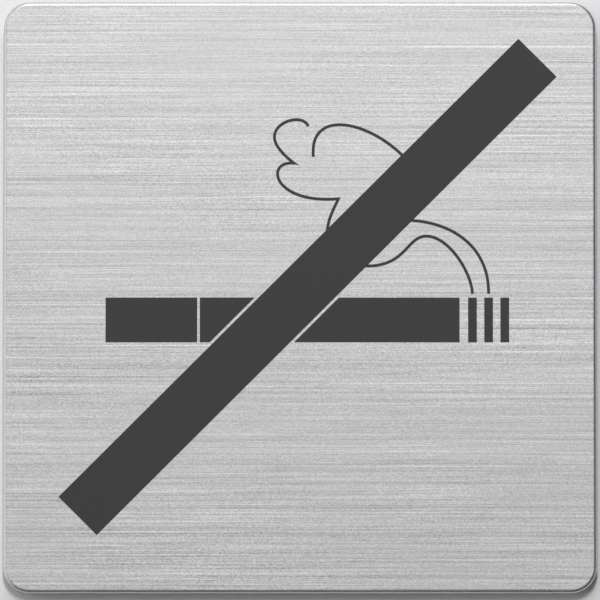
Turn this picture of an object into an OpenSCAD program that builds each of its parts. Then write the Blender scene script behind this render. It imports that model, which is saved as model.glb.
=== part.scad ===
// No smoking sign: a square steel plate with a printed figure, stuck to a wall by a foam pad.
// The sign hangs upright with its face towards -Y, and the wall is the plane Y = 0.
// The origin is the middle of the pad's wall side. Lengths are in millimetres.

/* [Plate] */
// Side of the square plate
plate_w = 90; // [80:0.5:110]
// Thickness of the steel sheet
plate_t = 1.5; // [1:0.1:3]
// Radius of the plate's four corners
corner_r = 4; // [2:0.5:8]
// Rounding of the edge round the face
edge_r = 0.6; // [0.2:0.1:0.8]
// Bevel of the edge round the back
back_bevel = 0.15; // [0.05:0.05:0.3]

/* [Adhesive pad] */
// Rim of bare steel left round the pad
pad_rim = 5; // [3:0.5:15]
// Thickness of the foam
pad_t = 1; // [0.5:0.1:2]
// Radius of the pad's four corners
pad_corner_r = 3; // [1:0.5:8]

/* [Ink] */
// Thickness of the ink
ink_t = 0.05; // [0.02:0.01:0.2]

/* [Bar] */
// Length of the bar
bar_l = 98.7; // [90:0.1:106]
// Width of the bar
bar_w = 8.2; // [6:0.1:11]
// Slope of the bar
bar_angle = 45; // [40:1:50]
// Middle of the bar, to the right of the plate's middle
bar_x = 1.2; // [-2:0.1:3]
// Middle of the bar, above the plate's middle
bar_z = 1.6; // [-2:0.1:3]
// Clear gap between the bar and the cigarette
bar_gap = 0.42; // [0.2:0.02:1.5]

/* [Cigarette] */
// Left end of the cigarette, from the plate's middle
cigarette_x = -29.5; // [-33:0.1:-27]
// Middle line of the cigarette, from the plate's middle
cigarette_z = -3.5; // [-6:0.1:-1]
// Thickness of the cigarette
cigarette_d = 6.8; // [5:0.1:9]
// Length of the filter
filter_l = 13.9; // [11:0.1:16]
// Clear seam between the filter and the body
filter_gap = 0.4; // [0.2:0.05:1]
// Length of the body
body_l = 39.4; // [37:0.1:42]
// Clear gap between the body and the first ember stripe
ember_gap = 1.3; // [0.6:0.05:2]
// Width of an ember stripe
stripe_w = 1.32; // [0.8:0.01:1.8]
// Distance from one ember stripe to the next
stripe_pitch = 2.45; // [2:0.05:3.4]

/* [Smoke] */
// Height of the smoke above its feet
smoke_h = 26.5; // [22:0.5:31]
// Width of the smoke, from the puff's left side to the outer foot
smoke_w = 32.5; // [30:0.5:35]
// Width of a smoke line
line_w = 0.44; // [0.3:0.02:0.7]
// Clear gap between the cigarette and the smoke's feet
smoke_gap = 0.6; // [0.3:0.05:1.5]

/* [Hidden] */
steel_colour = "#c9c9c7";
foam_colour = "#e2e0da";
ink_colour = "#434343";

// Straight stretches that stand for each curved stretch of a smoke line
curve_steps = 24;
// Number of ember stripes
stripe_count = 3;
// How far a cutting shape passes the surface that it cuts
clear = 1;

$fn = 96;

// Face of the plate, measured from the wall
face_y = pad_t + plate_t;
// Length of the plate's straight sides, between its corners
plate_straight = plate_w - 2 * corner_r;

bar_middle = [bar_x, bar_z];
bar_normal = [-sin(bar_angle), cos(bar_angle)];

body_x = cigarette_x + filter_l + filter_gap;
ember_x = body_x + body_l + ember_gap;
cigarette_top = cigarette_z + cigarette_d / 2;

// The feet of the smoke stand over the first two ember stripes
inner_foot = foot(0);
outer_foot = foot(1);

// Places on the face

// Left side of an ember stripe
function stripe_x(i) = ember_x + i * stripe_pitch;

// Foot of the smoke line that stands over an ember stripe
function foot(i) = [stripe_x(i) + stripe_w / 2, cigarette_top + smoke_gap];

// Place in the smoke, by shares of its width leftwards from the outer foot and of its height upwards
function puff(across, up) = outer_foot + [-across * smoke_w, up * smoke_h];

// Point under the bar's middle line that a line reaches when it goes straight on past its last point
function under_bar(before, last) =
    last + (last - before) * ((bar_middle - last) * bar_normal) / ((last - before) * bar_normal);

// Lines and their outlines

// Point at share t of the cubic curve with the four control points c
function on_curve(c, t) =
    c[0] * pow(1 - t, 3)
    + c[1] * 3 * pow(1 - t, 2) * t
    + c[2] * 3 * (1 - t) * pow(t, 2)
    + c[3] * pow(t, 3);

// Points along cubic curves in a row, where each one ends at the next one's first control point
function trace(c) = [
    for (k = [0:3:len(c) - 4], i = [0:curve_steps - 1])
        on_curve([c[k], c[k + 1], c[k + 2], c[k + 3]], i / curve_steps),
    c[len(c) - 1]
];

// The same, carried on in a straight line to the bar's middle
function trace_to_bar(c) = concat(trace(c), [under_bar(c[len(c) - 2], c[len(c) - 1])]);

// Unit vector to the left of the way from a to b
function left_of(a, b) = [a[1] - b[1], b[0] - a[0]] / norm(b - a);

// Corner of a line's outline beside point i of its path: side is 1 for the left and -1 for the right
function beside(path, i, side) =
    let (last = len(path) - 1)
    let (n_in = left_of(path[max(i, 1) - 1], path[max(i, 1)]))
    let (n_out = left_of(path[min(i, last - 1)], path[min(i, last - 1) + 1]))
    path[i] + side * line_w / 2 * (n_in + n_out) / (1 + n_in * n_out);

// A line of even width along a path, cut square at both ends
module stroke(path) {
    last = len(path) - 1;
    polygon(concat(
        [for (i = [0:last]) beside(path, i, 1)],
        [for (i = [last:-1:0]) beside(path, i, -1)]
    ));
}

// The pointed outer corner between two lines that meet at an angle
module mitre(path_in, path_out) {
    before = path_in[len(path_in) - 2];
    corner = path_out[0];
    after = path_out[1];
    outside = cross(corner - before, after - corner) > 0 ? -1 : 1;
    polygon([
        corner,
        beside([before, corner], 1, outside),
        beside([before, corner, after], 1, outside),
        beside([corner, after], 0, outside)
    ]);
}

// Shapes on the face

// A square with round corners
module round_square(side, r) {
    straight = side - 2 * r;
    square([side, straight], center = true);
    square([straight, side], center = true);
    for (x = [-1, 1], y = [-1, 1])
        translate([x, y] * straight / 2)
            circle(r);
}

module bar_outline() {
    translate(bar_middle)
        rotate(bar_angle)
            square([bar_l, bar_w], center = true);
}

// The bar, its gap and all beyond them, seen from the upper left side (0 degrees) or the lower right (180)
module from_bar_on(turn) {
    translate(bar_middle)
        rotate(bar_angle + turn)
            translate([-bar_l, bar_w / 2 + bar_gap - bar_l])
                square([2 * bar_l, bar_l]);
}

// A piece of the cigarette as long as asked, from its left side
module cigarette_piece(x, length) {
    translate([x, cigarette_z - cigarette_d / 2])
        square([length, cigarette_d]);
}

// Lines that run up to the bar and stop at its edge
module up_to_bar() {
    difference() {
        union()
            children();
        bar_outline();
    }
}

// Half section through the plate, from a line inside it out to its edge, with the back at 0
module rim_section(reach) {
    difference() {
        square([reach, plate_t]);
        translate([reach - edge_r, plate_t - edge_r])
            difference() {
                square(edge_r + clear);
                circle(edge_r);
            }
        polygon([
            [reach - back_bevel, 0],
            [reach - back_bevel - clear, -clear],
            [reach + clear, -clear],
            [reach + clear, back_bevel + clear],
            [reach, back_bevel]
        ]);
    }
}

// Placing

// Stands up what is drawn lying down: up on the sheet becomes +Z, and out of the sheet becomes -Y
module stand() {
    rotate([90, 0, 0])
        children();
}

// A field of ink on the face of the plate
module printed() {
    stand()
        translate([0, 0, face_y])
            linear_extrude(ink_t)
                children();
}

// The pieces

module face_plate() {
    color(steel_colour)
        stand()
            translate([0, 0, pad_t]) {
                for (turn = [0, 90, 180, 270])
                    rotate(turn) {
                        rotate([90, 0, 0])
                            linear_extrude(plate_straight, center = true)
                                rim_section(plate_w / 2);
                        translate([plate_straight / 2, plate_straight / 2, 0])
                            rotate_extrude(angle = 90)
                                rim_section(corner_r);
                    }
            }
}

module adhesive_pad() {
    color(foam_colour)
        stand()
            linear_extrude(pad_t)
                round_square(plate_w - 2 * pad_rim, pad_corner_r);
}

module ink_bar() {
    color(ink_colour)
        printed()
            bar_outline();
}

module ink_filter() {
    color(ink_colour)
        printed()
            cigarette_piece(cigarette_x, filter_l);
}

module ink_body_left() {
    color(ink_colour)
        printed()
            difference() {
                cigarette_piece(body_x, body_l);
                from_bar_on(0);
            }
}

module ink_body_right() {
    color(ink_colour)
        printed()
            difference() {
                cigarette_piece(body_x, body_l);
                from_bar_on(180);
            }
}

module ink_ember(i) {
    color(ink_colour)
        printed()
            cigarette_piece(stripe_x(i), stripe_w);
}

module ink_smoke_outer() {
    line = [outer_foot, puff(-0.003, 0.258), puff(0.154, 0.402), puff(0.353, 0.421)];
    color(ink_colour)
        printed()
            up_to_bar()
                stroke(trace_to_bar(line));
}

module ink_smoke_inner() {
    line = [
        inner_foot, puff(0.08, 0.126), puff(0.188, 0.331), puff(0.29, 0.331),
        puff(0.382, 0.331), puff(0.382, 0.16), puff(0.567, 0.159)
    ];
    color(ink_colour)
        printed()
            up_to_bar()
                stroke(trace_to_bar(line));
}

module ink_smoke_dome() {
    line = [puff(0.818, 0.788), puff(0.839, 1.062), puff(0.572, 1.002), puff(0.402, 0.796)];
    color(ink_colour)
        printed()
            up_to_bar()
                stroke(trace_to_bar(line));
}

module ink_smoke_curl() {
    cusp = puff(0.908, 0.751);
    neck = puff(0.701, 0.546);
    head = trace([
        puff(0.842, 0.963), puff(0.863, 1.037), puff(1, 0.998), puff(1, 0.9),
        puff(0.999, 0.845), puff(0.943, 0.783), cusp
    ]);
    lobe = trace([cusp, puff(1.047, 0.768), puff(1.011, 0.513), neck]);
    tail = trace_to_bar([neck, puff(0.717, 0.503), puff(0.746, 0.439), puff(0.752, 0.375)]);
    color(ink_colour)
        printed()
            up_to_bar() {
                stroke(head);
                mitre(head, lobe);
                stroke(lobe);
                mitre(lobe, tail);
                stroke(tail);
            }
}

face_plate();
adhesive_pad();
ink_bar();
ink_filter();
ink_body_left();
ink_body_right();
for (i = [1:stripe_count])
    ink_ember(i - 1);
ink_smoke_outer();
ink_smoke_inner();
ink_smoke_dome();
ink_smoke_curl();
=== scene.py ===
"""Looks of a no smoking sign: a brushed steel plate, the dark print on its face and the foam pad behind it.

The sign hangs on a wall, the plane y = 0 of the frame. Its face looks towards -Y, and +Z is up.
Each piece is drawn lying down on a sheet, in millimetres: x to the right, y up the sign, z out of the wall.
Every geometry tree then stands its sheet up, turns millimetres into metres and sets the finishes.
"""

from __future__ import annotations

import logging
import math
from dataclasses import dataclass
from enum import Enum
from typing import Any, Optional, Sequence, Union

import bpy
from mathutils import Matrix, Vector


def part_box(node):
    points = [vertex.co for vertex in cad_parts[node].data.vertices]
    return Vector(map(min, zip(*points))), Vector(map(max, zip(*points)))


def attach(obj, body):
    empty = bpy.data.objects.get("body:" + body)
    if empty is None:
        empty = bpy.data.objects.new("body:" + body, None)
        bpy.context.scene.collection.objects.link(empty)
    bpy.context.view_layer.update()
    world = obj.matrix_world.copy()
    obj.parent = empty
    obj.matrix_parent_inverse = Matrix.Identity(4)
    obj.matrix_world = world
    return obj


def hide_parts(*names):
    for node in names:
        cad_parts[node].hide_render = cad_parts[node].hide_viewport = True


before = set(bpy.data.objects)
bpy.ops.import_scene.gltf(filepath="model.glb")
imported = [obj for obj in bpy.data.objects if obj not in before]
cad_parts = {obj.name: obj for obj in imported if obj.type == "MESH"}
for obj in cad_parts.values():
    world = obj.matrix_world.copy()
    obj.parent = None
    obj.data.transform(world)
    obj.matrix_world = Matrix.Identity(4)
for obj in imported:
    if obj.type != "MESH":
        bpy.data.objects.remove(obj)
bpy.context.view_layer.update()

# A millimetre, in metres
MM = 0.001
# The body that every piece rides on
BODY = "root"
# Middle value of a noise
NOISE_MIDDLE = 0.5
# Distance within which points become one, in millimetres
WELD = 0.001
# Angle between two faces from which their edge is sharp
CREASE = math.radians(30)
# A Mix node's sockets that share their names: its two numbers, its two colours and the mixed colour
MIX_NUMBERS = (2, 3)
MIX_COLOURS = (6, 7)
MIXED_COLOUR = 2

log = logging.getLogger("sign")


class Slot(Enum):
    """Material slots of the record."""

    STEEL = "steel"
    INK = "ink"
    FOAM = "foam"


class Input(Enum):
    """Kinds of named inputs that a geometry tree can have."""

    LENGTH = "NodeSocketFloat"
    COUNT = "NodeSocketInt"
    PLACE = "NodeSocketVector"
    MATERIAL = "NodeSocketMaterial"


class Wire:
    """An output socket of a node, which takes part in Python arithmetic."""

    def __init__(self, tree: Tree, socket: bpy.types.NodeSocket) -> None:
        """Keeps the socket and the tree that new nodes go into."""
        self.tree = tree
        self.socket = socket

    def other(self, name: str) -> Wire:
        """Another output of the same node."""
        return Wire(self.tree, self.socket.node.outputs[name])

    def __add__(self, term: Term) -> Wire:
        """Sum."""
        return self.tree.maths("ADD", self, term)

    def __radd__(self, term: Term) -> Wire:
        """Sum, where the wire stands on the right."""
        return self.tree.maths("ADD", term, self)

    def __sub__(self, term: Term) -> Wire:
        """Difference."""
        return self.tree.maths("SUBTRACT", self, term)

    def __rsub__(self, term: Term) -> Wire:
        """Difference, where the wire stands on the right."""
        return self.tree.maths("SUBTRACT", term, self)

    def __mul__(self, term: Term) -> Wire:
        """Product."""
        return self.tree.maths("MULTIPLY", self, term)

    def __rmul__(self, term: Term) -> Wire:
        """Product, where the wire stands on the right."""
        return self.tree.maths("MULTIPLY", term, self)

    def __truediv__(self, term: Term) -> Wire:
        """Quotient."""
        return self.tree.maths("DIVIDE", self, term)

    def __neg__(self) -> Wire:
        """The value with its sign turned."""
        return self.tree.maths("MULTIPLY", self, -1.0)

    def __gt__(self, term: Term) -> Wire:
        """1 where the value is greater than the term, and 0 elsewhere."""
        return self.tree.maths("GREATER_THAN", self, term)

    def __lt__(self, term: Term) -> Wire:
        """1 where the value is less than the term, and 0 elsewhere."""
        return self.tree.maths("LESS_THAN", self, term)


Term = Union[Wire, float]
Colour = tuple[float, float, float]


def grey(level: float) -> tuple[float, float, float, float]:
    """An opaque grey."""
    return level, level, level, 1.0


class Tree:
    """Adds nodes to a shader tree or a geometry tree."""

    def __init__(self, data: bpy.types.NodeTree) -> None:
        """Keeps the tree that the nodes go into."""
        self.data = data

    def node(
        self,
        kind: str,
        settings: Optional[dict[str, Any]] = None,
        sockets: Optional[dict[Union[int, str], Any]] = None,
        output: Union[int, str] = 0,
    ) -> Optional[Wire]:
        """Adds one node.

        Args:
            kind: The node's type.
            settings: Its properties by name. A ramp's stops are pairs of a place and a level.
            sockets: Values or wires by socket name or number. A list feeds a socket that takes several links.
            output: Name or number of the output to go on from.

        Returns:
            The wire that leaves the node, or None where the node has no output.
        """
        made = self.data.nodes.new(kind)
        for name, value in (settings or {}).items():
            if name == "stops":
                self._set_stops(made.color_ramp, value)
            else:
                setattr(made, name, value)
        for key, value in (sockets or {}).items():
            for term in value if isinstance(value, list) else [value]:
                self._feed(made.inputs[key], term)
        return Wire(self, made.outputs[output]) if made.outputs else None

    def _feed(self, socket: bpy.types.NodeSocket, value: Any) -> None:
        """Links a wire to a socket, or sets the socket's value.

        Args:
            socket: An input socket of a node in this tree.
            value: The wire, or the plain value.
        """
        if isinstance(value, Wire):
            self.data.links.new(value.socket, socket)
        else:
            socket.default_value = value

    @staticmethod
    def _set_stops(ramp: bpy.types.ColorRamp, stops: Sequence[tuple[float, float]]) -> None:
        """Gives a ramp grey stops.

        Args:
            ramp: The ramp of a node that was just added.
            stops: Places from 0 to 1, each with its grey level.
        """
        while len(ramp.elements) < len(stops):
            ramp.elements.new(1.0)
        for element, (place, level) in zip(ramp.elements, stops):
            element.position = place
            element.color = grey(level)

    def maths(self, operation: str, *terms: Term) -> Wire:
        """Works out one operation on the terms."""
        return self.node("ShaderNodeMath", {"operation": operation}, dict(enumerate(terms)))

    def smooth(self, value: Term, low: float, high: float) -> Wire:
        """Rises smoothly from 0 where the value is low to 1 where it is high."""
        settings = {"interpolation_type": "SMOOTHSTEP"}
        return self.node("ShaderNodeMapRange", settings, {"Value": value, "From Min": low, "From Max": high})

    def mix(self, share: Term, first: Term, second: Term) -> Wire:
        """Goes from the first number to the second as the share goes from 0 to 1."""
        ends = dict(zip(MIX_NUMBERS, (first, second)))
        return self.node("ShaderNodeMix", {"data_type": "FLOAT"}, {"Factor": share, **ends})

    def mix_colour(self, share: Term, first: Colour, second: Colour) -> Wire:
        """Goes from the first colour to the second as the share goes from 0 to 1."""
        ends = dict(zip(MIX_COLOURS, ((*first, 1.0), (*second, 1.0))))
        return self.node("ShaderNodeMix", {"data_type": "RGBA"}, {"Factor": share, **ends}, MIXED_COLOUR)

    def vector(self, x: Term, y: Term, z: Term) -> Wire:
        """A vector from three numbers."""
        return self.node("ShaderNodeCombineXYZ", sockets={"X": x, "Y": y, "Z": z})


@dataclass(frozen=True)
class Streak:
    """One size of mark in a finish.

    Attributes:
        length: How far a mark runs, in millimetres.
        width: Its width, in millimetres.
        strength: Its share of what the finish shows.
        seed: Where in the noise it is read, so that two sizes don't line up.
    """

    length: float
    width: float
    strength: float
    seed: float

    def wire(self, tree: Tree, along: Wire, across: Wire) -> Wire:
        """Reads the marks.

        Args:
            tree: The shader tree.
            along: Place along the marks, in millimetres.
            across: Place across the marks, in millimetres.

        Returns:
            A value around 0.
        """
        place = tree.vector(along / self.length, across / self.width, self.seed)
        noise = tree.node("ShaderNodeTexNoise", sockets={"Vector": place, "Scale": 1.0, "Detail": 1.0})
        return (noise - NOISE_MIDDLE) * self.strength


@dataclass(frozen=True)
class Finish:
    """A finish that makes one procedural material.

    Attributes:
        name: Name of the material.
        metallic: 1 for bare metal, and 0 for anything else.
        roughness: Its roughness.
        dulling: How much its marks add to the roughness.
        specular: How strong its gloss is.
        anisotropy: How much its marks spread the light across them.
        turn: Way of that spread, in turns.
        relief: Depth of its marks, in millimetres.
    """

    name: str = "finish"
    metallic: float = 0.0
    roughness: float = 0.5
    dulling: float = 0.0
    specular: float = 0.5
    anisotropy: float = 0.0
    turn: float = 0.0
    relief: float = 0.0

    def material(self) -> bpy.types.Material:
        """Makes the material.

        Returns:
            The material, dressed with the finish's shader.
        """
        made = bpy.data.materials.new(self.name)
        made.use_nodes = True
        made.node_tree.nodes.clear()
        tree = Tree(made.node_tree)
        tree.node("ShaderNodeOutputMaterial", sockets={"Surface": self.surface(tree)})
        return made

    def surface(self, tree: Tree) -> Wire:
        """The shader, as each finish builds it."""
        raise NotImplementedError

    def shader(self, tree: Tree, colour: Wire, marks: Wire, height: Wire) -> Wire:
        """Adds the shader that carries the finish's own values.

        Args:
            tree: The shader tree.
            colour: The surface's colour.
            marks: What its roughness follows.
            height: What its relief follows.

        Returns:
            The shader.
        """
        sockets = {
            "Base Color": colour,
            "Metallic": self.metallic,
            "Roughness": self.roughness + self.dulling * marks,
            "Specular IOR Level": self.specular,
            "Anisotropic": self.anisotropy,
            "Anisotropic Rotation": self.turn,
            "Normal": tree.node("ShaderNodeBump", sockets={"Distance": self.relief * MM, "Height": height}),
        }
        return tree.node("ShaderNodeBsdfPrincipled", sockets=sockets)

    @staticmethod
    def place(tree: Tree) -> tuple[Wire, Wire, Wire]:
        """Reads the place of a point from the Object coordinates.

        Args:
            tree: The shader tree.

        Returns:
            Its place to the right, up and out of the wall, in millimetres.
        """
        metres = tree.node("ShaderNodeTexCoord", output="Object")
        axes = tree.node("ShaderNodeSeparateXYZ", sockets={"Vector": metres}, output="X")
        return axes / MM, axes.other("Z") / MM, axes.other("Y") / -MM


@dataclass(frozen=True)
class BrushedSteel(Finish):
    """Stainless steel brushed level, with long fine marks and a few bright ones.

    Attributes:
        colour: Its tone in the middle.
        painted_light_rise: Painted light: how much the tone rises with each millimetre up, as a share of it,
            so that the top looks lit from above.
        contrast: How much the grain changes the tone.
        glint: How much brighter a bright mark is.
        glint_from: Strength of a bright mark where it starts to show, and where it shows in full.
        grain: The marks, from the longest to the widest.
        bright: The few bright marks.
        pressure: Where the brush pressed more.
        sway: How far the marks leave their level, in millimetres.
    """

    name: str = "brushed_steel"
    metallic: float = 1.0
    roughness: float = 0.65
    dulling: float = 0.08
    anisotropy: float = 0.30
    turn: float = 0.25
    relief: float = 0.003
    colour: float = 0.59
    painted_light_rise: float = 0.0014
    contrast: float = 0.46
    glint: float = 0.36
    glint_from: tuple[float, float] = (0.15, 0.25)
    grain: tuple[Streak, ...] = (
        Streak(length=260.0, width=0.36, strength=0.90, seed=3.3),
        Streak(length=90.0, width=0.09, strength=1.90, seed=13.3),
        Streak(length=11.0, width=0.10, strength=1.50, seed=17.6),
        Streak(length=0.26, width=0.12, strength=2.40, seed=87.4),
        Streak(length=30.0, width=1.20, strength=0.28, seed=71.9),
    )
    bright: Streak = Streak(length=60.0, width=0.10, strength=1.0, seed=5.7)
    pressure: Streak = Streak(length=26.0, width=16.0, strength=1.2, seed=54.1)
    sway: Streak = Streak(length=40.0, width=14.0, strength=0.35, seed=33.1)

    def surface(self, tree: Tree) -> Wire:
        """Metal whose tone, gloss and relief follow the brush marks, with painted light that makes the tone
        lighter towards the top.

        Args:
            tree: The shader tree.

        Returns:
            The shader.
        """
        right, up, out = self.place(tree)
        across = up + out + self.sway.wire(tree, right, up)
        force = 1.0 + self.pressure.wire(tree, right, up)
        grain = force * sum(mark.wire(tree, right, across) for mark in self.grain)
        scratch = tree.smooth(self.bright.wire(tree, right, across), *self.glint_from)
        # The tone's rise with height is painted light: it makes the top lighter, as if lit from above.
        tone = self.colour * (1.0 + self.painted_light_rise * up + self.contrast * grain + self.glint * scratch)
        return self.shader(tree, tone, grain, grain)


@dataclass(frozen=True)
class MarkedFinish(Finish):
    """A finish of one tone, which its marks change.

    Attributes:
        colour: Its tone.
        contrast: How much the marks change the tone.
        marks: The marks, by size.
    """

    colour: float = 0.5
    contrast: float = 1.0
    marks: tuple[Streak, ...] = ()

    def surface(self, tree: Tree) -> Wire:
        """A surface whose tone, gloss and relief follow the marks.

        Args:
            tree: The shader tree.

        Returns:
            The shader.
        """
        along, across = self.ways(*self.place(tree))
        marks = sum(mark.wire(tree, along, across) for mark in self.marks)
        tone = self.colour * (1.0 + self.contrast * marks)
        return self.shader(tree, self.tinted(tree, tone), marks, marks)

    def ways(self, right: Wire, up: Wire, out: Wire) -> tuple[Wire, Wire]:
        """The places along and across the marks."""
        return right, up

    def tinted(self, tree: Tree, tone: Wire) -> Wire:
        """The colour that the tone gives."""
        return tone


@dataclass(frozen=True)
class CutEdge(MarkedFinish):
    """The sheet's cut edge, ground along its length."""

    name: str = "cut_edge"
    metallic: float = 1.0
    roughness: float = 0.40
    dulling: float = 0.3
    relief: float = 0.002
    colour: float = 0.58
    contrast: float = 0.7
    marks: tuple[Streak, ...] = (
        Streak(length=9.0, width=0.05, strength=0.35, seed=8.1),
        Streak(length=1.2, width=0.10, strength=0.25, seed=23.4),
    )

    def ways(self, right: Wire, up: Wire, out: Wire) -> tuple[Wire, Wire]:
        """The lines run round the rim and lie one before the other."""
        return right + up, out


@dataclass(frozen=True)
class MillBack(MarkedFinish):
    """The sheet's unbrushed back, with the rolls' faint upright lines, a soft mottle and fine pits.

    Attributes:
        blue: How much stronger its blue is than its red and green.
    """

    name: str = "mill_back"
    metallic: float = 1.0
    roughness: float = 0.46
    dulling: float = 0.5
    relief: float = 0.003
    colour: float = 0.50
    blue: float = 1.01
    marks: tuple[Streak, ...] = (
        Streak(length=0.5, width=70.0, strength=0.45, seed=11.0),
        Streak(length=7.0, width=11.0, strength=0.30, seed=29.0),
        Streak(length=0.25, width=0.25, strength=0.50, seed=47.0),
    )

    def tinted(self, tree: Tree, tone: Wire) -> Wire:
        """The tone with a little more blue."""
        shares = {"Red": tone, "Green": tone, "Blue": tone * self.blue}
        return tree.node("ShaderNodeCombineColor", sockets=shares)


@dataclass(frozen=True)
class PrintInk(MarkedFinish):
    """Matt dark grey ink, with a fine orange peel, through which the brush marks show faintly."""

    name: str = "print_ink"
    roughness: float = 0.72
    dulling: float = 0.2
    specular: float = 0.20
    relief: float = 0.004
    colour: float = 0.052
    contrast: float = 0.25
    marks: tuple[Streak, ...] = (
        Streak(length=0.22, width=0.22, strength=0.35, seed=2.2),
        Streak(length=30.0, width=0.25, strength=0.20, seed=3.3),
    )


@dataclass(frozen=True)
class CellFoam(Finish):
    """White closed-cell foam, cut through so that its cells lie open at the edge.

    Attributes:
        colour: Colour of the cells' walls.
        hollow_shade: Painted shade down in a cell: a darker colour that stands in for the shade inside it.
        cell: Size of a cell, in millimetres.
        wall: Where a wall ends and where the inside of a cell starts, as shares of a cell.
    """

    name: str = "cell_foam"
    roughness: float = 0.75
    dulling: float = 0.1
    specular: float = 0.3
    relief: float = 0.05
    colour: Colour = (0.80, 0.78, 0.74)
    hollow_shade: Colour = (0.52, 0.50, 0.46)
    cell: float = 0.16
    wall: tuple[float, float] = (0.03, 0.30)

    def surface(self, tree: Tree) -> Wire:
        """Pale foam whose open cells are deeper than their walls, with painted shade that makes them darker.

        Args:
            tree: The shader tree.

        Returns:
            The shader.
        """
        place = tree.vector(*self.place(tree))
        settings = {"feature": "DISTANCE_TO_EDGE"}
        inward = tree.node("ShaderNodeTexVoronoi", settings, {"Vector": place, "Scale": 1.0 / self.cell})
        depth = tree.smooth(inward, *self.wall)
        # The cells' darker colour is painted shade; the same depth also sinks them and dulls them.
        return self.shader(tree, tree.mix_colour(depth, self.colour, self.hollow_shade), depth, -depth)


@dataclass(frozen=True)
class AdhesiveFilm(Finish):
    """The tacky film on the foam, pressed with the faint diamond weave of its liner.

    Attributes:
        colour: Colour of the film.
        pressed: Colour in a pressed line.
        weave: Half the distance from one pressed line to the next, in millimetres.
        groove: Width of one side of a pressed line, in millimetres.
        fleck: The film's small flecks.
    """

    name: str = "adhesive_film"
    roughness: float = 0.38
    dulling: float = 0.3
    relief: float = 0.02
    colour: Colour = (0.78, 0.76, 0.70)
    pressed: Colour = (0.72, 0.70, 0.64)
    weave: float = 1.1
    groove: float = 0.25
    fleck: Streak = Streak(length=0.4, width=0.4, strength=0.3, seed=4.0)

    def surface(self, tree: Tree) -> Wire:
        """Pale film, a little glossy, with a pressed diamond pattern and small flecks.

        Args:
            tree: The shader tree.

        Returns:
            The shader.
        """
        right, up, out = self.place(tree)
        lines = [tree.maths("PINGPONG", way, self.weave) for way in (right + up, right - up)]
        ridge = tree.smooth(tree.maths("MINIMUM", *lines), 0.0, self.groove)
        fleck = self.fleck.wire(tree, right, up + out)
        return self.shader(tree, tree.mix_colour(ridge, self.pressed, self.colour), fleck, ridge + fleck)


@dataclass(frozen=True)
class OneWayPaint(Finish):
    """Matt paint of the set, seen only from its front.

    From behind, the paint lets the eye through, and then it lets the light through as well.

    Attributes:
        level: Its grey level.
    """

    name: str = "one_way_paint"
    level: float = 0.80

    def surface(self, tree: Tree) -> Wire:
        """Diffuse paint that a path from behind passes.

        Args:
            tree: The shader tree.

        Returns:
            The shader.
        """
        behind = tree.node("ShaderNodeNewGeometry", output="Backfacing")
        passed = tree.node("ShaderNodeLightPath", output="Transparent Depth") > 0.0
        away = tree.maths("MAXIMUM", behind, passed)
        paint = tree.node("ShaderNodeBsdfDiffuse", sockets={"Color": grey(self.level)})
        clear = tree.node("ShaderNodeBsdfTransparent")
        return tree.node("ShaderNodeMixShader", sockets={0: away, 1: paint, 2: clear})


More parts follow.
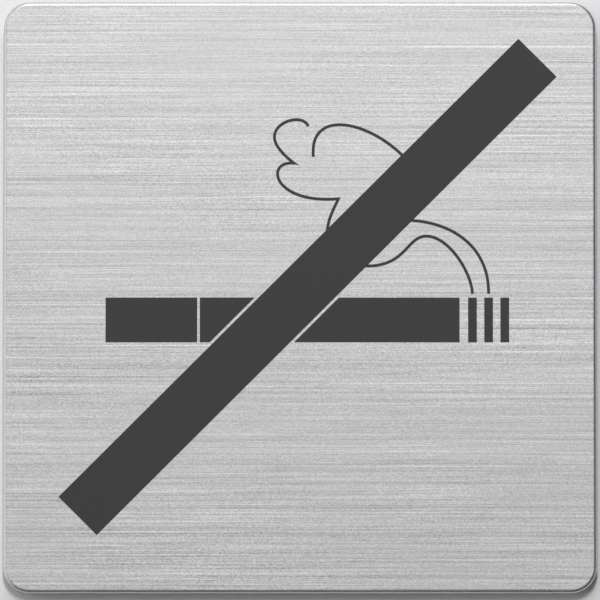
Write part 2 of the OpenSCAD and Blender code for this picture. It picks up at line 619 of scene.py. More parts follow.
class Recipe:
    """A geometry tree with named inputs, and the way to run it."""

    def __init__(self, name: str, inputs: dict[str, Input]) -> None:
        """Makes the tree's group and its named inputs.

        Args:
            name: Name of the tree.
            inputs: The kind of each named input. Every tree also has Out, the sheet's distance from the wall.
        """
        self.group = bpy.data.node_groups.new(name, "GeometryNodeTree")
        self.tree = Tree(self.group)
        face = self.group.interface
        face.new_socket("Geometry", in_out="INPUT", socket_type="NodeSocketGeometry")
        for label, kind in {**inputs, "Out": Input.LENGTH}.items():
            face.new_socket(label, in_out="INPUT", socket_type=kind.value)
        face.new_socket("Geometry", in_out="OUTPUT", socket_type="NodeSocketGeometry")
        self.start = self.tree.node("NodeGroupInput", output="Geometry")

    def given(self, label: str) -> Wire:
        """The wire of a named input."""
        return self.start.other(label)

    def axes(self) -> Wire:
        """Place of a point: x, with y and z as its other outputs."""
        place = self.tree.node("GeometryNodeInputPosition")
        return self.tree.node("ShaderNodeSeparateXYZ", sockets={"Vector": place}, output="X")

    def moved(self, geometry: Wire, **changes: Any) -> Wire:
        """Geometry with a Translation, a Rotation or a Scale."""
        return self.tree.node("GeometryNodeTransform", sockets={"Geometry": geometry, **changes})

    def welded(self, *parts: Wire) -> Wire:
        """Parts joined into one mesh, where points that lie together become one."""
        joined = self.tree.node("GeometryNodeJoinGeometry", sockets={"Geometry": list(parts)})
        return self.tree.node("GeometryNodeMergeByDistance", sockets={"Geometry": joined, "Distance": WELD})

    def round_box(self, width: Term, height: Term, radius: Term, steps: Term) -> Wire:
        """Draws a rectangle with round corners round the sheet's middle.

        Args:
            width: Its width.
            height: Its height.
            radius: Radius of its corners, which may be another one at each corner.
            steps: Points on each round corner.

        Returns:
            The closed curve, against the clock.
        """
        size = {"Width": width, "Height": height}
        box = self.tree.node("GeometryNodeCurvePrimitiveQuadrilateral", {"mode": "RECTANGLE"}, size)
        fillet = {"Curve": box, "Count": steps, "Radius": radius}
        return self.tree.node("GeometryNodeFilletCurve", {"mode": "POLY"}, fillet)

    def sweep(self, path: Wire, section: Wire, caps: bool = False) -> Wire:
        """Carries a section along a path that lies on the sheet.

        Args:
            path: The path. Round an outline it goes against the clock.
            section: The section, where x goes to the left of the path and y up from the sheet.
            caps: Whether the ends of a closed section are closed.

        Returns:
            The swept mesh.
        """
        upright = self.tree.node("GeometryNodeSetCurveNormal", {"mode": "Z_UP"}, {"Curve": path})
        turned = self.moved(section, Rotation=(0.0, 0.0, math.pi))
        sockets = {"Curve": upright, "Profile Curve": turned, "Fill Caps": caps}
        return self.tree.node("GeometryNodeCurveToMesh", sockets=sockets)

    def end(self, geometry: Wire, finishes: dict[str, Term]) -> None:
        """Stands the sheet up in the frame, sets the finishes and closes the tree.

        Args:
            geometry: The piece, lying on its sheet.
            finishes: Which faces of the piece in its place take the finish of each named input, in order.
        """
        raised = self.moved(geometry, Translation=self.tree.vector(0.0, 0.0, self.given("Out")))
        stood = self.moved(raised, Rotation=(math.radians(90), 0.0, 0.0), Scale=(MM, MM, MM))
        piece = self.tree.node("GeometryNodeRealizeInstances", sockets={"Geometry": stood})
        for label, faces in finishes.items():
            sockets = {"Geometry": piece, "Selection": faces, "Material": self.given(label)}
            piece = self.tree.node("GeometryNodeSetMaterial", sockets=sockets)
        self.tree.node("NodeGroupOutput", sockets={"Geometry": piece})

    def make(self, name: str, drawing: bpy.types.Curve, values: dict[str, Any]) -> bpy.types.Object:
        """Runs the tree and keeps what it makes as a plain mesh.

        Args:
            name: Name of the piece.
            drawing: The curve that the tree starts from.
            values: The named inputs' values.

        Returns:
            The piece, at the origin.
        """
        carrier = linked(name + "_drawing", drawing)
        modifier = carrier.modifiers.new(self.group.name, "NODES")
        modifier.node_group = self.group
        for item in self.group.interface.items_tree:
            if item.name in values:
                modifier[item.identifier] = values[item.name]
        return flattened(carrier, name)


def linked(name: str, data: bpy.types.ID) -> bpy.types.Object:
    """Makes an object in the scene.

    Args:
        name: Its name.
        data: What it shows.

    Returns:
        The object, at the origin.
    """
    made = bpy.data.objects.new(name, data)
    bpy.context.scene.collection.objects.link(made)
    return made


def aimed(name: str, data: bpy.types.ID, target: Vector, rise: float, distance: float) -> bpy.types.Object:
    """Puts a lamp or a camera before the sign, where it looks at a place.

    Args:
        name: Its name.
        data: The lamp or the camera.
        target: The place, in metres.
        rise: How high it stands over the place, as an angle.
        distance: How far it stands from the place, in metres.

    Returns:
        The object.
    """
    way = Vector((0.0, -math.cos(rise), math.sin(rise)))
    made = linked(name, data)
    made.location = target + way * distance
    made.rotation_euler = (-way).to_track_quat("-Z", "Y").to_euler()
    return made


def flattened(source: bpy.types.Object, name: str) -> bpy.types.Object:
    """Turns an object with its modifiers into a plain mesh object, without empty material slots.

    Args:
        source: The object, linked to the scene, which is used up.
        name: Name of the new object.

    Returns:
        The new object, at the origin.
    """
    depsgraph = bpy.context.evaluated_depsgraph_get()
    mesh = bpy.data.meshes.new_from_object(source.evaluated_get(depsgraph), depsgraph=depsgraph)
    bpy.data.objects.remove(source)
    mesh.name = name
    for index in reversed(range(len(mesh.materials))):
        if mesh.materials[index] is None:
            mesh.materials.pop(index=index)
    return linked(name, mesh)


def hand_over(piece: bpy.types.Object, slot: Slot, *nodes: str) -> None:
    """Gives a finished piece its body, hides the nodes that it stands for, and reports it.

    Args:
        piece: The finished piece.
        slot: The record's slot that it takes its finish from. Not used.
        nodes: The nodes that it replaces.
    """
    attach(piece, BODY)
    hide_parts(*nodes)
    log.info("%s: %d faces, for %s", piece.name, len(piece.data.polygons), ", ".join(nodes))


@dataclass(frozen=True)
class Patch:
    """A node's box on the sheet, in millimetres."""

    left: float
    right: float
    low: float
    high: float
    back: float
    front: float

    @classmethod
    def of(cls, node: str) -> Patch:
        """The box of a node of the frame."""
        first, last = (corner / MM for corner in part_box(node))
        return cls(first.x, last.x, first.z, last.z, -last.y, -first.y)

    @property
    def width(self) -> float:
        """Width from left to right."""
        return self.right - self.left

    @property
    def height(self) -> float:
        """Height from low to high."""
        return self.high - self.low

    @property
    def thickness(self) -> float:
        """Thickness from back to front."""
        return self.front - self.back

    @property
    def middle(self) -> Vector:
        """Middle of the box on the sheet."""
        return Vector(((self.left + self.right) / 2, (self.low + self.high) / 2))


def around(left: float, right: float, low: float, high: float) -> list[tuple[float, float]]:
    """The corners of a rectangle, against the clock."""
    return [(left, low), (right, low), (right, high), (left, high)]


def drawing_of(name: str, *lines: Sequence[Vector], closed: bool = False) -> bpy.types.Curve:
    """Draws straight-sided lines on the sheet.

    Args:
        name: Name of the drawing.
        lines: The corners of each line.
        closed: Whether each line goes back to its start.

    Returns:
        The curve.
    """
    curve = bpy.data.curves.new(name, "CURVE")
    curve.dimensions = "3D"
    for corners in lines:
        spline = curve.splines.new("POLY")
        spline.points.add(len(corners) - 1)
        for point, corner in zip(spline.points, corners):
            point.co = (corner[0], corner[1], 0.0, 1.0)
        spline.use_cyclic_u = closed
    return curve


class SlabRecipe(Recipe):
    """Carries a rim section round a square with round corners, and closes it with a back and a face."""

    def __init__(self, name: str = "steel_slab", more: Optional[dict[str, Input]] = None) -> None:
        """Builds the tree. Its drawing is half a section: x is the inset from the outline, y the height.

        Args:
            name: Name of the tree.
            more: Named inputs that only this kind of slab has.
        """
        lengths = dict.fromkeys(("Side", "Corner Radius", "Thickness", "Skin"), Input.LENGTH)
        finishes = dict.fromkeys(("Face Finish", "Rim Finish", "Back Finish"), Input.MATERIAL)
        super().__init__(name, {**lengths, "Corner Steps": Input.COUNT, **finishes, **(more or {})})
        band = self.cut_rim(self.sweep(self.outline(), self.start))
        whole = self.welded(band, self._lid(band, upper=False), self._lid(band, upper=True))
        self.end(self._shaded(whole), self._zones())

    def outline(self) -> Wire:
        """The square with its round corners."""
        side = self.given("Side")
        return self.round_box(side, side, self.given("Corner Radius"), self.given("Corner Steps"))

    def cut_rim(self, band: Wire) -> Wire:
        """The rim as the cutter leaves it, which is clean on steel."""
        return band

    def _lid(self, band: Wire, upper: bool) -> Wire:
        """Fills one open end of the band.

        Args:
            band: The swept rim.
            upper: Whether it is the face's end and not the back's.

        Returns:
            A flat face that fits the end.
        """
        faces_beside = self.tree.node("GeometryNodeInputMeshEdgeNeighbors")
        height, middle = self.axes().other("Z"), self.given("Thickness") / 2
        end = (faces_beside < 2) * (height > middle if upper else height < middle)
        loop = self.tree.node("GeometryNodeMeshToCurve", sockets={"Mesh": band, "Selection": end})
        flat = self.tree.node("GeometryNodeFillCurve", {"mode": "NGONS"}, {"Curve": loop})
        if not upper:
            return self.tree.node("GeometryNodeFlipFaces", sockets={"Mesh": flat})
        return self.moved(flat, Translation=self.tree.vector(0.0, 0.0, self.given("Thickness")))

    def _shaded(self, mesh: Wire) -> Wire:
        """Shades a mesh smoothly, broken at its sharp edges.

        Args:
            mesh: The slab.

        Returns:
            The shaded slab.
        """
        smooth = self.tree.node("GeometryNodeSetShadeSmooth", {"domain": "FACE"}, {"Geometry": mesh})
        crease = self.tree.node("GeometryNodeInputMeshEdgeAngle") > CREASE
        sockets = {"Geometry": smooth, "Selection": crease, "Shade Smooth": False}
        return self.tree.node("GeometryNodeSetShadeSmooth", {"domain": "EDGE"}, sockets)

    def _zones(self) -> dict[str, Term]:
        """Shares the slab out between its finishes, by how far its faces stand out.

        Returns:
            The faces of each finish: all for the rim, and over it the skin of the back and of the face.
        """
        height = self.axes().other("Y") / -MM - self.given("Out")
        back = height < self.given("Skin")
        face = height > self.given("Thickness") - self.given("Skin")
        return {"Rim Finish": True, "Back Finish": back, "Face Finish": face}


class FoamSlabRecipe(SlabRecipe):
    """The same slab in foam, whose cut rim is torn a little by the knife.

    Attributes:
        tears: Number of tears in each millimetre, with how finely they are ragged.
        core_from: How many skins in from each face the tears start.
    """

    tears: dict[str, float] = {"Scale": 2.2, "Detail": 2.0}
    core_from: float = 1.5

    def __init__(self) -> None:
        """Builds the tree."""
        super().__init__("foam_slab", {"Spacing": Input.LENGTH, "Tear": Input.LENGTH})

    def outline(self) -> Wire:
        """The outline with points close enough for the tear to show."""
        sockets = {"Curve": super().outline(), "Length": self.given("Spacing")}
        return self.tree.node("GeometryNodeResampleCurve", {"mode": "LENGTH"}, sockets)

    def cut_rim(self, band: Wire) -> Wire:
        """Moves the rim between the skins in and out by up to the tear.

        Args:
            band: The swept rim.

        Returns:
            The torn rim.
        """
        height, clear = self.axes().other("Z"), self.given("Skin") * self.core_from
        core = (height > clear) * (height < self.given("Thickness") - clear)
        noise = self.tree.node("ShaderNodeTexNoise", sockets=self.tears)
        push = (noise - NOISE_MIDDLE) * 2.0 * self.given("Tear") * core
        scaled = {"Vector": self.tree.node("GeometryNodeInputNormal"), "Scale": push}
        way = self.tree.node("ShaderNodeVectorMath", {"operation": "SCALE"}, scaled)
        return self.tree.node("GeometryNodeSetPosition", sockets={"Geometry": band, "Offset": way})


class InkRecipe(Recipe):
    """What the print's trees share."""

    def __init__(self, name: str, inputs: dict[str, Input]) -> None:
        """Makes the tree's group with the ink's own inputs.

        Args:
            name: Name of the tree.
            inputs: The kind of each named input but the ink's thickness and finish.
        """
        super().__init__(name, {"Ink": Input.LENGTH, "Finish": Input.MATERIAL, **inputs})

    def film(self, outline: Wire) -> Wire:
        """Fills closed outlines with a closed film of ink that lies on the sheet.

        Args:
            outline: The outlines.

        Returns:
            The film's mesh.
        """
        under = self.tree.node("GeometryNodeFillCurve", {"mode": "NGONS"}, {"Curve": outline})
        lift = {"Mesh": under, "Offset": self.tree.vector(0.0, 0.0, 1.0), "Offset Scale": self.given("Ink")}
        over = self.tree.node("GeometryNodeExtrudeMesh", {"mode": "FACES"}, lift)
        return self.welded(over, self.tree.node("GeometryNodeFlipFaces", sockets={"Mesh": under}))


class InkFieldRecipe(InkRecipe):
    """Fills closed outlines with a film of ink, and marks the edges that the ink's flow makes soft.

    Attributes:
        off_steel: Share of the ink's thickness above which an edge doesn't lie on the steel.
    """

    off_steel: float = 0.25

    def __init__(self) -> None:
        """Builds the tree. Its drawing is the outline of one field, which may stand in a row."""
        super().__init__("ink_field", {"Copies": Input.COUNT, "Pitch": Input.LENGTH})
        pitch = self.tree.vector(self.given("Pitch"), 0.0, 0.0)
        steps = {"Count": self.given("Copies"), "Offset": pitch}
        row = self.tree.node("GeometryNodeMeshLine", {"mode": "OFFSET"}, steps)
        sockets = {"Points": row, "Instance": self._marked()}
        self.end(self.tree.node("GeometryNodeInstanceOnPoints", sockets=sockets), {"Finish": True})

    def _marked(self) -> Wire:
        """Gives a bevel weight to every edge of the film that isn't on the steel.

        Returns:
            The film with its weights.
        """
        above = self.axes().other("Z") > self.given("Ink") * self.off_steel
        return self.tree.node(
            "GeometryNodeStoreNamedAttribute",
            {"data_type": "FLOAT", "domain": "EDGE"},
            {"Geometry": self.film(self.start), "Name": "bevel_weight_edge", "Value": above},
        )


class InkLineRecipe(InkRecipe):
    """Lays a low bead of ink along lines, joins the beads and ends them at the bar.

    Attributes:
        level_step: Step that heights are rounded to, in millimetres.
        block_height: Height of the block that stands for the bar, in millimetres.
    """

    level_step: float = 0.001
    block_height: float = 1.0

    def __init__(self) -> None:
        """Builds the tree. Its drawing is open lines, and closed outlines to fill where lines meet."""
        lengths = dict.fromkeys(("Width", "Shoulder", "Bar Length", "Bar Width"), Input.LENGTH)
        places = dict.fromkeys(("Bar Middle", "Bar Slope"), Input.PLACE)
        super().__init__("ink_line", {**lengths, "Shoulder Steps": Input.COUNT, **places})
        tree = self.tree
        ways = {"Geometry": self.start, "Selection": tree.node("GeometryNodeInputSplineCyclic")}
        patches = tree.node("GeometryNodeSeparateGeometry", {"domain": "CURVE"}, ways)
        beads = self.sweep(patches.other("Inverted"), self._bead(), caps=True)
        level = [self._levelled(beads), self._levelled(self.film(patches))]
        parts = {"Mesh 2": level, "Self Intersection": True}
        joined = tree.node("GeometryNodeMeshBoolean", {"operation": "UNION", "solver": "EXACT"}, parts)
        cut = {"Mesh 1": joined, "Mesh 2": self._bar()}
        ended = tree.node("GeometryNodeMeshBoolean", {"operation": "DIFFERENCE", "solver": "EXACT"}, cut)
        self.end(ended, {"Finish": True})

    def _bead(self) -> Wire:
        """Draws the bead's section, flat below and with round shoulders.

        Returns:
            The section, standing on the sheet.
        """
        ink, shoulder = self.given("Ink"), self.given("Shoulder")
        upper = self.axes().other("Y") > 0.0
        box = self.round_box(self.given("Width"), ink, shoulder * upper, self.given("Shoulder Steps"))
        return self.moved(box, Translation=self.tree.vector(0.0, ink / 2, 0.0))

    def _levelled(self, mesh: Wire) -> Wire:
        """Rounds heights to whole steps, so that beads that meet share one flat top and one flat underside.

        Args:
            mesh: Beads or patches of ink.

        Returns:
            The mesh with rounded heights.
        """
        axes = self.axes()
        height = self.tree.maths("SNAP", axes.other("Z") + self.level_step / 2, self.level_step)
        place = self.tree.vector(axes, axes.other("Y"), height)
        return self.tree.node("GeometryNodeSetPosition", sockets={"Geometry": mesh, "Position": place})

    def _bar(self) -> Wire:
        """A block that fills the bar's place."""
        size = self.tree.vector(self.given("Bar Length"), self.given("Bar Width"), self.block_height)
        block = self.tree.node("GeometryNodeMeshCube", sockets={"Size": size})
        return self.moved(block, Translation=self.given("Bar Middle"), Rotation=self.given("Bar Slope"))


def softened(piece: bpy.types.Object, width: float, steps: int) -> bpy.types.Object:
    """Rounds the marked edges of a piece.

    Args:
        piece: The piece, which is used up.
        width: Width of the rounding, in millimetres.
        steps: Faces across the rounding.

    Returns:
        The rounded piece.
    """
    bevel = piece.modifiers.new("soft_edge", "BEVEL")
    bevel.limit_method = "WEIGHT"
    bevel.width = width * MM
    bevel.segments = steps
    name = piece.name
    piece.name = name + "_sharp"
    return flattened(piece, name)


@dataclass(frozen=True)
class Slab:
    """A square slab with round corners and one section all round its rim.

    Attributes:
        corner_radius: Radius of its four corners, in millimetres.
        corner_steps: Points on each round corner.
        skin: Depth from its face and from its back that takes their finish, in millimetres.
        margin: How far the rim's section goes on over the face and the back, in millimetres.
    """

    corner_radius: float = 1.0
    corner_steps: int = 24
    skin: float = 0.1
    margin: float = 0.03

    def values(
        self, patch: Patch, face: bpy.types.Material, rim: bpy.types.Material, back: bpy.types.Material
    ) -> dict[str, Any]:
        """Works out the inputs that every slab's tree has.

        Args:
            patch: The slab's box.
            face: Material of its face.
            rim: Material of its rim.
            back: Material of its back.

        Returns:
            The values by input.
        """
        return {
            "Out": patch.back,
            "Side": patch.width,
            "Thickness": patch.thickness,
            "Corner Radius": self.corner_radius,
            "Corner Steps": self.corner_steps,
            "Skin": self.skin,
            "Face Finish": face,
            "Rim Finish": rim,
            "Back Finish": back,
        }


@dataclass(frozen=True)
class SteelPlate(Slab):
    """The plate: one piece of sheet with round corners, a round front edge and a broken back edge.

    Attributes:
        front_radius: Rounding of the edge round the face, in millimetres.
        front_steps: Faces across that rounding.
        back_bevel: Bevel of the edge round the back, in millimetres.
    """

    corner_radius: float = 4.0
    corner_steps: int = 40
    skin: float = 0.0375
    front_radius: float = 0.6
    front_steps: int = 14
    back_bevel: float = 0.15

    def section(self, thickness: float) -> list[Vector]:
        """Draws the rim's section, from the face's flat to the back's.

        Args:
            thickness: The sheet's thickness.

        Returns:
            The section's points.
        """
        turns = [math.pi / 2 * step / self.front_steps for step in range(self.front_steps + 1)]
        bends = [Vector((1.0 - math.sin(turn), math.cos(turn) - 1.0)) * self.front_radius for turn in turns]
        front = Vector((0.0, thickness))
        bevel = [Vector((0.0, self.back_bevel)), Vector((self.back_bevel, 0.0))]
        inner_front = Vector((self.front_radius + self.margin, thickness))
        inner_back = Vector((self.back_bevel + self.margin, 0.0))
        return [inner_front, *(bend + front for bend in bends), *bevel, inner_back]

    def build(self) -> None:
        """Makes the plate and hands it over."""
        patch = Patch.of("face_plate")
        values = self.values(patch, BrushedSteel().material(), CutEdge().material(), MillBack().material())
        drawing = drawing_of("plate_section", self.section(patch.thickness))
        hand_over(SlabRecipe().make("steel_plate", drawing, values), Slot.STEEL, "face_plate")


@dataclass(frozen=True)
class FoamPad(Slab):
    """The double-sided foam pad between the plate and the wall. Its skins are its two adhesive films.

    Attributes:
        waist: How far the foam between the films is drawn in, in millimetres.
        rows: Faces across that foam.
        tear: How far the cut foam is torn in or out, in millimetres.
        spacing: Distance between points along the rim, in millimetres.
    """

    corner_radius: float = 3.0
    skin: float = 0.08
    waist: float = 0.10
    rows: int = 5
    tear: float = 0.06
    spacing: float = 0.5

    def section(self, thickness: float) -> list[Vector]:
        """Draws the rim's section: a film at each face and a foam core that is drawn in a little.

        Args:
            thickness: The pad's thickness.

        Returns:
            The section's points, from the face's flat to the back's.
        """
        core = thickness - 2 * self.skin
        shares = [row / self.rows for row in range(self.rows + 1)]
        cut = [Vector((self.waist * math.sin(math.pi * s), thickness - self.skin - core * s)) for s in shares]
        top = [Vector((self.margin, thickness)), Vector((0.0, thickness))]
        return [*top, *cut, Vector((0.0, 0.0)), Vector((self.margin, 0.0))]

    def build(self) -> None:
        """Makes the pad and hands it over."""
        patch = Patch.of("adhesive_pad")
        tacky = AdhesiveFilm().material()
        values = self.values(patch, tacky, CellFoam().material(), tacky)
        values.update({"Spacing": self.spacing, "Tear": self.tear})
        drawing = drawing_of("pad_section", self.section(patch.thickness))
        hand_over(FoamSlabRecipe().make("foam_pad", drawing, values), Slot.FOAM, "adhesive_pad")


@dataclass(frozen=True)
class Bar:
    """The diagonal bar of the print, as its box on the sheet gives it.

    Attributes:
        width: Its width, in millimetres.
        slope: How steeply it rises to the right.
    """

    width: float = 8.2
    slope: float = math.radians(45)

    @property
    def middle(self) -> Vector:
        """Middle of the bar on the sheet."""
        return Patch.of("ink_bar").middle

    @property
    def length(self) -> float:
        """Length that, at this slope, fills the box from left to right."""
        return (Patch.of("ink_bar").width - self.width * math.sin(self.slope)) / math.cos(self.slope)

    @property
    def upward(self) -> Vector:
        """Unit vector across the bar, up and to the left."""
        return Vector((-math.sin(self.slope), math.cos(self.slope)))

    def corners(self) -> list[Vector]:
        """Works out the corners.

        Returns:
            The four corners, against the clock.
        """
        along = Vector((math.cos(self.slope), math.sin(self.slope))) * self.length
        across = self.upward * self.width
        return [self.middle + along * x + across * y for x, y in around(-0.5, 0.5, -0.5, 0.5)]

    def under(self, before: Vector, last: Vector) -> Vector:
        """Where a line that goes straight on from its last two points meets the bar's middle line."""
        step = last - before
        return last + step * ((self.middle - last).dot(self.upward) / step.dot(self.upward))


@dataclass(frozen=True)
class Smoke:
    """The smoke's lines as Bezier points.

    Each point gives shares of its width and height, to the left and up from the foot of the outer line.

    Attributes:
        height: Height of the smoke above its feet, in millimetres.
        width: Its width from the puff's left side to the outer foot, in millimetres.
        foot_gap: Clear gap between the ember and a foot, in millimetres.
        outer: The outer line from the ember, past its foot.
        inner: The inner line from the ember, past its foot.
        dome: The line over the top of the puff.
        cusp: Where the curl's head and its lobe meet.
        neck: Where its lobe and its tail meet.
        head: The curl's head, before the cusp.
        lobe: The handles of the lobe, between the cusp and the neck.
        tail: The tail, past the neck.
    """

    height: float = 26.5
    width: float = 32.5
    foot_gap: float = 0.6
    outer: tuple[tuple[float, float], ...] = ((-0.003, 0.258), (0.154, 0.402), (0.353, 0.421))
    inner: tuple[tuple[float, float], ...] = (
        (0.080, 0.126),
        (0.188, 0.331),
        (0.290, 0.331),
        (0.382, 0.331),
        (0.382, 0.160),
        (0.567, 0.159),
    )
    dome: tuple[tuple[float, float], ...] = ((0.818, 0.788), (0.839, 1.062), (0.572, 1.002), (0.402, 0.796))
    cusp: tuple[float, float] = (0.908, 0.751)
    neck: tuple[float, float] = (0.701, 0.546)
    head: tuple[tuple[float, float], ...] = (
        (0.842, 0.963),
        (0.863, 1.037),
        (1.000, 0.998),
        (1.000, 0.900),
        (0.999, 0.845),
        (0.943, 0.783),
    )
    lobe: tuple[tuple[float, float], ...] = ((1.047, 0.768), (1.011, 0.513))
    tail: tuple[tuple[float, float], ...] = ((0.717, 0.503), (0.746, 0.439), (0.752, 0.375))

    def foot(self, stripe: int) -> Vector:
        """Foot of a line, above the middle of one of the ember's stripes."""
        patch = Patch.of(f"ink_ember_{stripe}")
        return Vector((patch.middle.x, patch.high + self.foot_gap))

    def places(self, *shares: tuple[float, float]) -> list[Vector]:
        """The places on the sheet of pairs of shares."""
        start = self.foot(2)
        return [start + Vector((-left * self.width, up * self.height)) for left, up in shares]


def straight_on(bar: Bar, points: list[Vector]) -> list[Vector]:
    """Lengthens a Bezier line straight to the bar's middle line.

    Args:
        bar: The bar.
        points: Knots and handles in order, ending with a knot.

    Returns:
        The points with one more Bezier piece, which is straight.
    """
    last = points[-1]
    end = bar.under(points[-2], last)
    return [*points, last.lerp(end, 1 / 3), last.lerp(end, 2 / 3), end]


@dataclass(frozen=True)
class ScreenPrint:
    """The dark print: the bar, the cigarette, its ember and the smoke, all in one ink.

    Attributes:
        bar: The diagonal bar.
        smoke: The smoke's lines.
        line_width: Width of a smoke line, in millimetres.
        stripes: Number of the ember's stripes.
        shoulder: Rounding of the ink's upper edges, in millimetres.
        shoulder_steps: Faces across that rounding.
        tuck: How far a corner's patch goes in under its lines, as a share of half their width.
        curve_steps: Straight stretches in each Bezier piece.
    """

    bar: Bar = Bar()
    smoke: Smoke = Smoke()
    line_width: float = 0.44
    stripes: int = 3
    shoulder: float = 0.02
    shoulder_steps: int = 3
    tuck: float = 0.1
    curve_steps: int = 32

    def build(self) -> None:
        """Makes every field and line of the print and hands them over."""
        ink = PrintInk().material()
        self._fields(ink)
        self._lines(ink)

    @staticmethod
    def _values(node: str, ink: bpy.types.Material) -> dict[str, Any]:
        """The inputs that every tree of the print has."""
        patch = Patch.of(node)
        return {"Ink": patch.thickness, "Out": patch.back, "Finish": ink}

    def _fields(self, ink: bpy.types.Material) -> None:
        """Makes the filled fields.

        Args:
            ink: The ink's material.
        """
        left, right = Patch.of("ink_body_left"), Patch.of("ink_body_right")
        fields = {
            "bar": self.bar.corners(),
            "filter": self._upright(Patch.of("ink_filter")),
            "body_left": self._upright(left, right_slant=left.height),
            "body_right": self._upright(right, left_slant=right.height),
            "ember": self._upright(Patch.of("ink_ember_1")),
        }
        rows = {"ember": [f"ink_ember_{count + 1}" for count in range(self.stripes)]}
        pitch = Patch.of("ink_ember_2").left - Patch.of("ink_ember_1").left
        recipe = InkFieldRecipe()
        for name, corners in fields.items():
            nodes = rows.get(name, ["ink_" + name])
            values = {**self._values(nodes[0], ink), "Copies": len(nodes), "Pitch": pitch}
            drawing = drawing_of(name + "_outline", corners, closed=True)
            sharp = recipe.make("print_" + name, drawing, values)
            hand_over(softened(sharp, self.shoulder, self.shoulder_steps), Slot.INK, *nodes)

    @staticmethod
    def _upright(patch: Patch, left_slant: float = 0.0, right_slant: float = 0.0) -> list[Vector]:
        """Draws an upright field whose left or right end may follow the bar.

        Args:
            patch: The field's box.
            left_slant: How much further right the left end's top is than its foot.
            right_slant: How much further left the right end's foot is than its top.

        Returns:
            The corners, against the clock.
        """
        slants = (0.0, -right_slant, 0.0, left_slant)
        corners = around(patch.left, patch.right, patch.low, patch.high)
        return [Vector((x + slant, y)) for (x, y), slant in zip(corners, slants)]

    def _lines(self, ink: bpy.types.Material) -> None:
        """Makes the smoke's lines.

        Args:
            ink: The ink's material.
        """
        smoke, bar = self.smoke, self.bar
        cusp, neck = smoke.places(smoke.cusp, smoke.neck)
        outer = [smoke.foot(2), *smoke.places(*smoke.outer)]
        inner = [smoke.foot(1), *smoke.places(*smoke.inner)]
        head = [*smoke.places(*smoke.head), cusp]
        lobe = [cusp, *smoke.places(*smoke.lobe), neck]
        tail = [neck, *smoke.places(*smoke.tail)]
        lines = {
            "smoke_outer": [straight_on(bar, outer)],
            "smoke_inner": [straight_on(bar, inner)],
            "smoke_dome": [straight_on(bar, smoke.places(*smoke.dome))],
            "smoke_curl": [head, lobe, straight_on(bar, tail)],
        }
        mitres = {"smoke_curl": [self._mitre(head, lobe), self._mitre(lobe, tail)]}
        sizes = {
            "Width": self.line_width,
            "Shoulder": self.shoulder,
            "Shoulder Steps": self.shoulder_steps,
            "Bar Length": bar.length,
            "Bar Width": bar.width,
            "Bar Middle": (*bar.middle, 0.0),
            "Bar Slope": (0.0, 0.0, bar.slope),
        }
        recipe = InkLineRecipe()
        for name, strokes in lines.items():
            drawing = drawing_of(name + "_outline", *mitres.get(name, []), closed=True)
            self._add_strokes(drawing, strokes)
            piece = recipe.make("print_" + name, drawing, {**self._values("ink_" + name, ink), **sizes})
            hand_over(piece, Slot.INK, "ink_" + name)

    def _mitre(self, first: Sequence[Vector], second: Sequence[Vector]) -> list[Vector]:
        """Draws the sharp outer corner where one line ends and the next one starts.

        Args:
            first: The Bezier points of the line that ends there.
            second: The Bezier points of the line that starts there.

        Returns:
            The corner's outline, against the clock, tucked a little under both lines.
        """
        joint, reach = second[0], self.line_width / 2
        way_in, way_out = (joint - first[-2]).normalized(), (second[1] - joint).normalized()
        half_turn = way_in.angle(way_out) / 2
        outward = (way_in - way_out).normalized()
        side = Vector((-outward.y, outward.x)) * math.sin(half_turn)
        shoulder = joint + outward * reach * math.cos(half_turn) * (1 - self.tuck)
        across = side * reach * (1 - self.tuck)
        tip = joint + outward * reach / math.cos(half_turn)
        root = joint - outward * reach * self.tuck
        return [tip, shoulder + across, root, shoulder - across]

    def _add_strokes(self, drawing: bpy.types.Curve, strokes: Sequence[Sequence[Vector]]) -> None:
        """Adds open Bezier lines to a drawing.

        Args:
            drawing: The drawing.
            strokes: The knots and handles of each line, in order.
        """
        drawing.resolution_u = self.curve_steps
        for points in strokes:
            padded = [points[0], *points, points[-1]]
            spline = drawing.splines.new("BEZIER")
            spline.bezier_points.add(len(points) // 3)
            for at, knot in enumerate(spline.bezier_points):
                knot.handle_left_type = knot.handle_right_type = "FREE"
                three = padded[3 * at : 3 * at + 3]
                knot.handle_left, knot.co, knot.handle_right = (point.to_3d() for point in three)


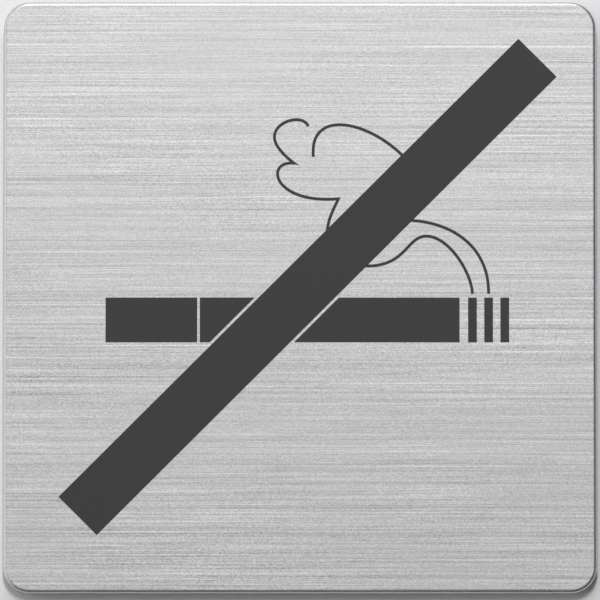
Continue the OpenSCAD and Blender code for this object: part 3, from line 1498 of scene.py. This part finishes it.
@dataclass(frozen=True)
class Sky:
    """Soft light, stronger from the left than from the right, with a pale field for the camera.

    Three turns of light lie one over the other before the wall, and one level lies behind it.
    Each turn is a row of marks: degrees to the right, and a level.

    Attributes:
        pale: The level that the camera sees.
        behind: The level of the light behind the wall.
        low: The turn of light from below.
        middle: The turn of light from the sign's own height.
        high: The turn of light from above.
        low_to_middle: Rise in degrees where the low turn ends, and where the middle one is reached.
        middle_to_high: Rise in degrees where the middle turn ends, and where the high one is reached.
    """

    pale: float = 0.85
    behind: float = 0.80
    low: tuple[tuple[float, float], ...] = ((-90, 0.05), (-45, 0.05), (0, 0.08), (45, 0.05), (90, 0.05))
    middle: tuple[tuple[float, float], ...] = ((-90, 1.72), (-45, 0.83), (0, 0.17), (45, 0.05), (90, 0.10))
    high: tuple[tuple[float, float], ...] = ((-90, 1.41), (-45, 0.62), (0, 0.08), (45, 0.05), (90, 0.10))
    low_to_middle: tuple[float, float] = (-50.0, -10.0)
    middle_to_high: tuple[float, float] = (20.0, 60.0)

    def build(self) -> None:
        """Makes the world."""
        world = bpy.data.worlds.new("soft_studio")
        world.use_nodes = True
        world.cycles.sampling_method = "NONE"
        world.node_tree.nodes.clear()
        tree = Tree(world.node_tree)
        way = tree.node("ShaderNodeTexCoord", output="Generated")
        axes = tree.node("ShaderNodeSeparateXYZ", sockets={"Vector": way}, output="X")
        front = -axes.other("Y")
        rise = tree.maths("ARCSINE", axes.other("Z")) * math.degrees(1.0)
        turn = tree.maths("ARCTAN2", axes, front) * math.degrees(1.0)
        low, middle, high = (self._level(tree, turn, marks) for marks in (self.low, self.middle, self.high))
        lower = tree.mix(tree.smooth(rise, *self.low_to_middle), low, middle)
        before = tree.mix(tree.smooth(rise, *self.middle_to_high), lower, high)
        level = tree.mix(axes.other("Y") > 0.0, before, self.behind)
        seen = tree.node("ShaderNodeLightPath", output="Is Camera Ray")
        sockets = {"Color": grey(1.0), "Strength": tree.mix(seen, level, self.pale)}
        light = tree.node("ShaderNodeBackground", sockets=sockets)
        tree.node("ShaderNodeOutputWorld", sockets={"Surface": light})
        bpy.context.scene.world = world

    @staticmethod
    def _level(tree: Tree, turn: Wire, marks: Sequence[tuple[float, float]]) -> Wire:
        """Reads a level from a row of marks.

        Args:
            tree: The world's tree.
            turn: Degrees to the right of the sign's front.
            marks: Degrees to the right, each with its level.

        Returns:
            The level there.
        """
        first, last = marks[0][0], marks[-1][0]
        top = max(level for _, level in marks)
        stops = [((degrees - first) / (last - first), level / top) for degrees, level in marks]
        place = (turn - first) / (last - first)
        return tree.node("ShaderNodeValToRGB", {"stops": stops}, {"Fac": place}) * top


@dataclass(frozen=True)
class Lamp:
    """A soft light that looks at the sign.

    Attributes:
        name: Its name.
        rise: Its height over the sign's middle, in degrees.
        power: Its power, in watts.
        distance: How far it stands from the sign, in metres.
        size: Its width and height, in metres.
    """

    name: str
    rise: float
    power: float
    distance: float
    size: tuple[float, float]

    def build(self) -> None:
        """Makes the light in front of the sign."""
        light = bpy.data.lights.new(self.name, "AREA")
        light.shape = "RECTANGLE"
        light.size, light.size_y = self.size
        light.energy = self.power
        aimed(self.name, light, Vector(), math.radians(self.rise), self.distance)


@dataclass(frozen=True)
class Studio:
    """The wall that the sign hangs on, the floor, the lights and the camera.

    Attributes:
        wall_side: Width of the wall and the floor, in metres.
        wall_gap: Gap between the pad and the wall, in metres.
        wall_level: Grey level of the wall.
        floor_drop: How far the floor is below the sign's middle, in metres.
        floor_level: Grey level of the floor.
        key: The main lamp, in front of the sign and a little above it.
        top: The lamp that lights the upper edge.
        camera_distance: Distance of the camera from the sign, in metres.
        camera_drop: How far below the sign the camera looks up from.
        lens: Its focal length, in millimetres.
        sensor: Width of its sensor, in millimetres.
        far: How far it sees, in metres.
        aim: The place on the face that it looks at, in millimetres from the middle.
    """

    wall_side: float = 2.4
    wall_gap: float = 0.0001
    wall_level: float = 0.88
    floor_drop: float = 0.5
    floor_level: float = 0.80
    key: Lamp = Lamp("key", rise=26.0, power=4.05, distance=1.0, size=(0.10, 0.30))
    top: Lamp = Lamp("top", rise=60.0, power=1.78, distance=0.7, size=(0.30, 0.15))
    camera_distance: float = 1.85
    camera_drop: float = math.radians(5.05)
    lens: float = 731.6
    sensor: float = 36.0
    far: float = 100.0
    aim: tuple[float, float] = (0.0, -0.47)

    def build(self) -> None:
        """Makes the set."""
        self._wall()
        self._floor()
        Sky().build()
        self.key.build()
        self.top.build()
        self._camera()

    @staticmethod
    def _panel(name: str, corners: Sequence[tuple[float, float, float]], level: float) -> bpy.types.Object:
        """Makes one flat panel of the set.

        Args:
            name: Name of the panel.
            corners: Its corners, against the clock from where it is seen.
            level: Its paint's level.

        Returns:
            The panel.
        """
        mesh = bpy.data.meshes.new(name)
        mesh.from_pydata(corners, [], [range(len(corners))])
        mesh.materials.append(OneWayPaint(name=name + "_paint", level=level).material())
        panel = linked(name, mesh)
        return panel

    def _wall(self) -> None:
        """The wall just behind the pad."""
        half = self.wall_side / 2
        corners = [(x, self.wall_gap, z) for x, z in around(-half, half, -self.floor_drop, half)]
        self._panel("wall", corners, self.wall_level)

    def _floor(self) -> None:
        """The floor below, which takes no part in the light on the sign."""
        half = self.wall_side / 2
        corners = [(x, y, -self.floor_drop) for x, y in around(-half, half, -half, half)]
        floor = self._panel("floor", corners, self.floor_level)
        floor.visible_diffuse = floor.visible_glossy = False

    def _camera(self) -> None:
        """The camera at the photograph's viewing angle: a little below the sign, looking up at its face."""
        lens = bpy.data.cameras.new("camera")
        lens.lens = self.lens
        lens.sensor_width = self.sensor
        lens.clip_end = self.far
        target = Vector((self.aim[0], -Patch.of("face_plate").front, self.aim[1])) * MM
        camera = aimed("camera", lens, target, -self.camera_drop, self.camera_distance)
        bpy.context.scene.camera = camera


def main() -> None:
    """Builds the sign and the set."""
    logging.basicConfig(level=logging.INFO, format="%(name)s: %(message)s")
    SteelPlate().build()
    FoamPad().build()
    ScreenPrint().build()
    Studio().build()
    bpy.context.scene.view_settings.view_transform = "Standard"


if __name__ == "__main__":
    main()
